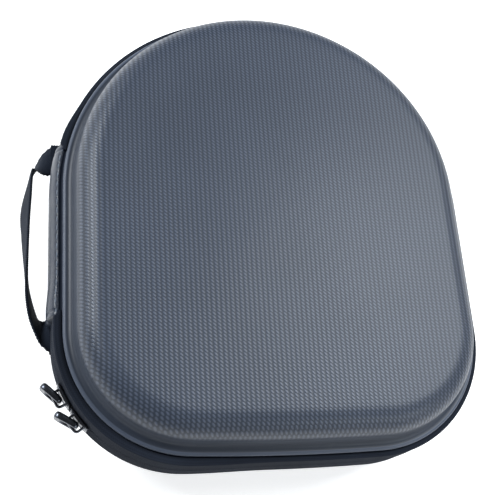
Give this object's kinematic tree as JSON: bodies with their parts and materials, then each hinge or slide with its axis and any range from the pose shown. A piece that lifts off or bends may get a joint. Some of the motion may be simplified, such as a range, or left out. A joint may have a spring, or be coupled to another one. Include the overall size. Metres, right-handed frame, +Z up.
{
  "type": "headphone carrying case",
  "caption": "Semi-rigid zipped clamshell case with a rounded end, a soft spine hinge, a webbing side handle and two zip sliders.",
  "frame": {"origin": "middle of the base's flat underside", "axes": "+Z up through the closed case, +Y along it towards the rounded end, -X to the spine and handle"},
  "size_m": [0.2276, 0.2404, 0.072],
  "materials": {
    "shell_skin": "embossed matt coated skin",
    "spine_leatherette": "smooth semi-matt leatherette",
    "padding_foam": "foam",
    "thread": "twisted thread",
    "velour": "short velour",
    "binding_tape": "grosgrain",
    "zip_tape": "fine woven tape",
    "coil_nylon": "nylon monofilament",
    "webbing": "woven webbing",
    "net": "open knitted net",
    "slider_metal": "dark nickel plate"
  },
  "bodies": {
    "base": {"base_shell": "shell_skin", "base_lining": "velour", "base_edge_binding": "binding_tape", "base_zip_tape": "zip_tape", "base_zip_coil": "coil_nylon", "spine_cover_base_half": "spine_leatherette", "spine_padding_base_half": "padding_foam", "spine_lining_base_half": "velour", "spine_stitches_base": "thread", "handle_tab_front": "webbing", "handle_tab_rear": "webbing"},
    "lid": {"lid_shell": "shell_skin", "lid_lining": "velour", "lid_edge_binding": "binding_tape", "lid_zip_tape": "zip_tape", "lid_zip_coil": "coil_nylon", "spine_cover_lid_half": "spine_leatherette", "spine_padding_lid_half": "padding_foam", "spine_lining_lid_half": "velour", "spine_stitches_lid": "thread", "pocket_binding": "binding_tape", "pocket_net": "net", "pocket_elastic": "binding_tape"},
    "handle": {"handle_strap": "webbing"},
    "slider_a": {"slider_a_body": "slider_metal", "slider_a_bridge": "slider_metal"},
    "slider_b": {"slider_b_body": "slider_metal", "slider_b_bridge": "slider_metal"},
    "pull_a": {"slider_a_pull": "slider_metal"},
    "pull_b": {"slider_b_pull": "slider_metal"}
  },
  "joints": [
    {"name": "lid_hinge", "type": "hinge", "parent": "base", "child": "lid", "pos_m": [-0.1089, -0.00275, 0.0365], "axis": [0, -1, 0], "range_deg": [0, 180], "deforming": ["handle_strap"]},
    {"name": "handle_swing", "type": "hinge", "parent": "base", "child": "handle", "pos_m": [-0.1078, -0.01, 0.02475], "axis": [0, 1, 0], "range_deg": [-65, 30]},
    {"name": "slider_a_travel", "type": "hinge", "parent": "base", "child": "slider_a", "pos_m": [-0.0437, -0.05688, 0.0365], "axis": [0, 0, -1], "range_deg": [0, 4.5]},
    {"name": "slider_b_travel", "type": "hinge", "parent": "base", "child": "slider_b", "pos_m": [-0.0437, -0.05688, 0.0365], "axis": [0, 0, 1], "range_deg": [0, 42]},
    {"name": "pull_a_turn", "type": "hinge", "parent": "slider_a", "child": "pull_a", "pos_m": [-0.10324, -0.08753, 0.0365], "axis": [0, 0, 1], "range_deg": [-4, 55]},
    {"name": "pull_b_turn", "type": "hinge", "parent": "slider_b", "child": "pull_b", "pos_m": [-0.09571, -0.09906, 0.0365], "axis": [0, 0, 1], "range_deg": [-4, 125]}
  ]
}
